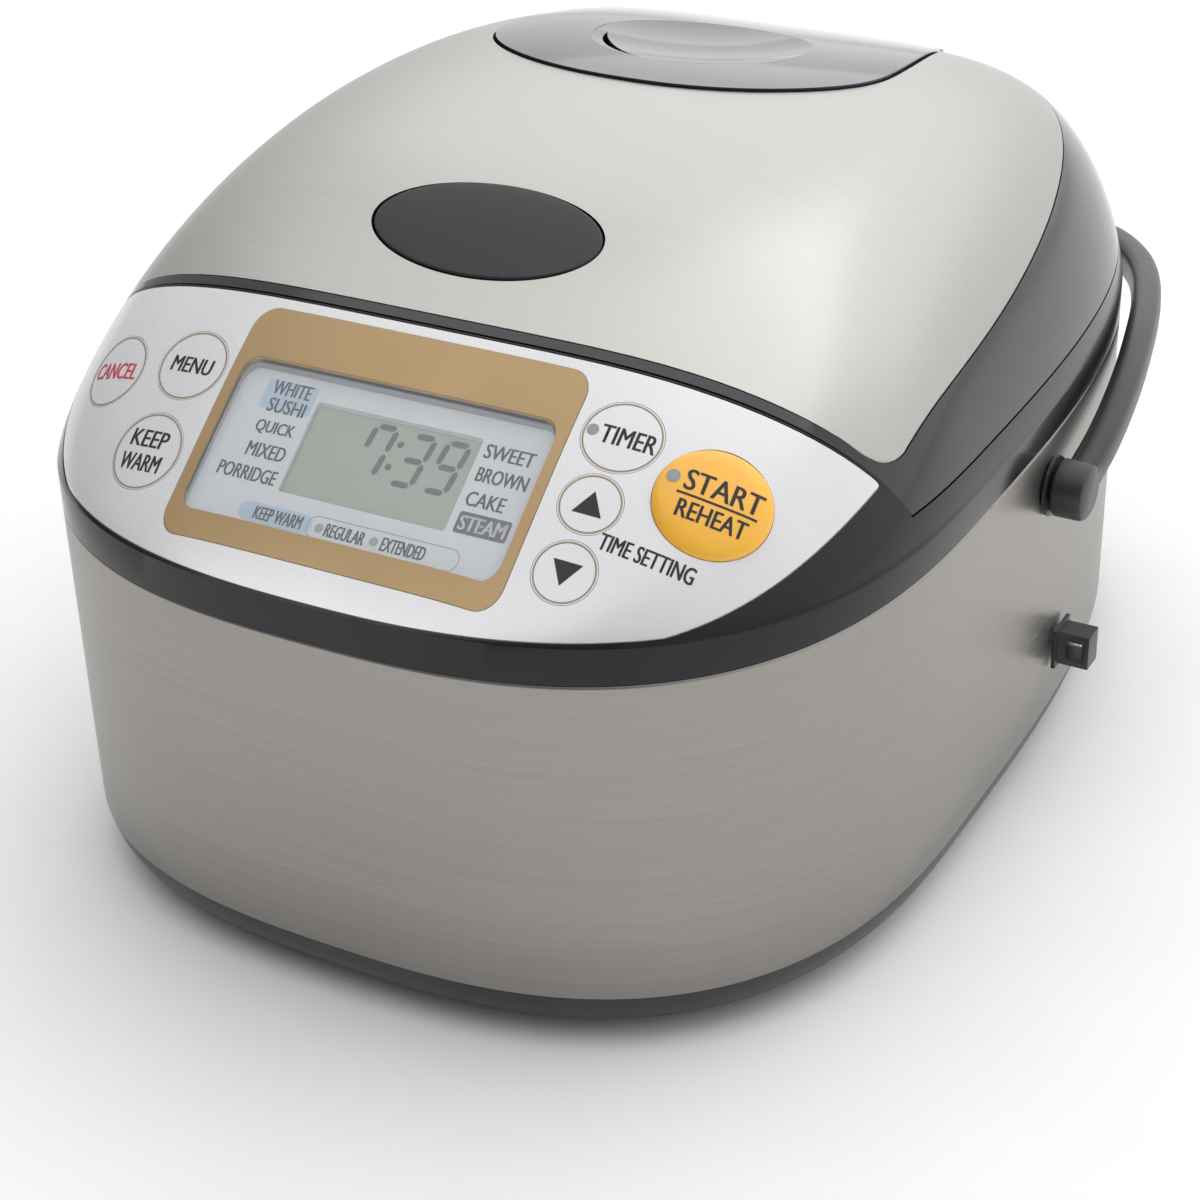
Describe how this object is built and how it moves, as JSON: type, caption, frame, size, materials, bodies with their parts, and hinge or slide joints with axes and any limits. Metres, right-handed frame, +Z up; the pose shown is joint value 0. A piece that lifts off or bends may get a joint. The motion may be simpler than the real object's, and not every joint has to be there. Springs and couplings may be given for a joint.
{
  "type": "rice cooker",
  "caption": "Countertop rice cooker: oval steel body, domed hinged lid with steam vent and release button, sloping control panel, swinging carry handle and inner pot.",
  "frame": {"origin": "centre of the bounding box's bottom face, on the surface that the feet stand on", "axes": "+Z up, -Y towards the control panel, +X to the user's right"},
  "size_m": [0.2858, 0.3776, 0.2056],
  "materials": {
    "brushed_steel": "fine horizontal brushing, satin",
    "lid_steel": "satin champagne silver",
    "gloss_black": "glossy",
    "black_plastic": "satin moulded",
    "pearl_plastic": "pearl silver film",
    "gold_film": "printed gold",
    "clear_window": "clear, glossy",
    "card_plastic": "printed card",
    "lcd_plastic": "liquid crystal display",
    "amber_plastic": "glossy orange",
    "board": "lacquered circuit board",
    "aluminium": "satin",
    "foot_rubber": "matt",
    "grey_rubber": "silicone",
    "pot_coating": "dark non-stick coating",
    "plated_steel": "zinc plated"
  },
  "bodies": {
    "cooker_body": {"base_tray": "black_plastic", "foot_1": "foot_rubber", "foot_2": "foot_rubber", "foot_3": "foot_rubber", "foot_4": "foot_rubber", "base_screw_1": "plated_steel", "base_screw_2": "plated_steel", "base_screw_3": "plated_steel", "base_screw_4": "plated_steel", "side_wrap": "brushed_steel", "upper_frame": "gloss_black", "control_panel": "pearl_plastic", "display_bezel": "gold_film", "display_window": "clear_window", "display_card": "card_plastic", "lcd_module": "lcd_plastic", "control_board": "board", "power_board": "board", "inner_chamber": "aluminium", "side_heater": "plated_steel", "heating_plate": "aluminium", "sensor_spring": "plated_steel", "inner_pot": "pot_coating", "cord_reel_housing": "black_plastic", "cord_outlet": "black_plastic", "latch_catch": "plated_steel", "hinge_pin": "plated_steel", "handle_pivot_left": "black_plastic", "handle_pivot_right": "black_plastic", "spoon_bracket": "black_plastic"},
    "lid": {"lid_shell": "gloss_black", "lid_plate": "lid_steel", "lid_inner_cover": "black_plastic", "steam_duct": "grey_rubber", "inner_lid": "aluminium", "lid_gasket": "grey_rubber", "button_spring": "plated_steel"},
    "steam_vent_set": {"steam_vent_cap": "gloss_black", "steam_vent_base": "black_plastic"},
    "lid_button": {"lid_button": "black_plastic"},
    "latch": {"latch_hook": "black_plastic"},
    "carry_handle": {"carry_handle": "black_plastic"},
    "thermal_sensor": {"thermal_sensor": "aluminium"},
    "reel_drum": {"cord_reel_drum": "black_plastic"},
    "key_cancel": {"key_cancel": "pearl_plastic"},
    "key_menu": {"key_menu": "pearl_plastic"},
    "key_keep_warm": {"key_keep_warm": "pearl_plastic"},
    "key_timer": {"key_timer": "pearl_plastic"},
    "key_up": {"key_up": "pearl_plastic"},
    "key_down": {"key_down": "pearl_plastic"},
    "key_start": {"key_start": "amber_plastic"}
  },
  "joints": [
    {"name": "lid_hinge", "type": "hinge", "parent": "cooker_body", "child": "lid", "pos_m": [0, 0.14703, 0.137], "axis": [-1, 0, 0], "range_deg": [0, 90]},
    {"name": "handle_swing", "type": "hinge", "parent": "cooker_body", "child": "carry_handle", "pos_m": [0, -0.00097, 0.099], "axis": [1, 0, 0], "range_deg": [0, 95]},
    {"name": "vent_lift", "type": "slide", "parent": "lid", "child": "steam_vent_set", "axis": [0, 0, 1], "range_m": [0, 0.045]},
    {"name": "button_press", "type": "slide", "parent": "lid", "child": "lid_button", "axis": [0, 0.4169, -0.909], "range_m": [0, 0.003], "stiffness_N_per_m": 900, "deforming": ["button_spring"]},
    {"name": "latch_turn", "type": "hinge", "parent": "lid", "child": "latch", "pos_m": [0, -0.11347, 0.1536], "axis": [1, 0, 0], "range_deg": [0, 7]},
    {"name": "sensor_press", "type": "slide", "parent": "cooker_body", "child": "thermal_sensor", "axis": [0, 0, -1], "range_m": [0, 0.002], "stiffness_N_per_m": 700, "deforming": ["sensor_spring"]},
    {"name": "reel_turn", "type": "hinge", "parent": "cooker_body", "child": "reel_drum", "pos_m": [0, 0.13103, 0.037], "axis": [0, 0, 1], "continuous": true},
    {"name": "press_cancel", "type": "slide", "parent": "cooker_body", "child": "key_cancel", "axis": [0.3775, 0.5723, -0.728], "range_m": [0, 0.0006], "stiffness_N_per_m": 900},
    {"name": "press_menu", "type": "slide", "parent": "cooker_body", "child": "key_menu", "axis": [0.0937, 0.5964, -0.7972], "range_m": [0, 0.0006], "stiffness_N_per_m": 900},
    {"name": "press_keep_warm", "type": "slide", "parent": "cooker_body", "child": "key_keep_warm", "axis": [0.1211, 0.6293, -0.7677], "range_m": [0, 0.0006], "stiffness_N_per_m": 900},
    {"name": "press_timer", "type": "slide", "parent": "cooker_body", "child": "key_timer", "axis": [-0.0985, 0.5834, -0.8062], "range_m": [0, 0.0006], "stiffness_N_per_m": 900},
    {"name": "press_up", "type": "slide", "parent": "cooker_body", "child": "key_up", "axis": [-0.0979, 0.6166, -0.7812], "range_m": [0, 0.0006], "stiffness_N_per_m": 900},
    {"name": "press_down", "type": "slide", "parent": "cooker_body", "child": "key_down", "axis": [-0.1195, 0.6307, -0.7667], "range_m": [0, 0.0006], "stiffness_N_per_m": 900},
    {"name": "press_start", "type": "slide", "parent": "cooker_body", "child": "key_start", "axis": [-0.391, 0.5675, -0.7247], "range_m": [0, 0.0006], "stiffness_N_per_m": 900}
  ],
  "couplings": [
    {"joint": "latch_turn", "follows": "button_press", "rad_per_m": 40}
  ]
}
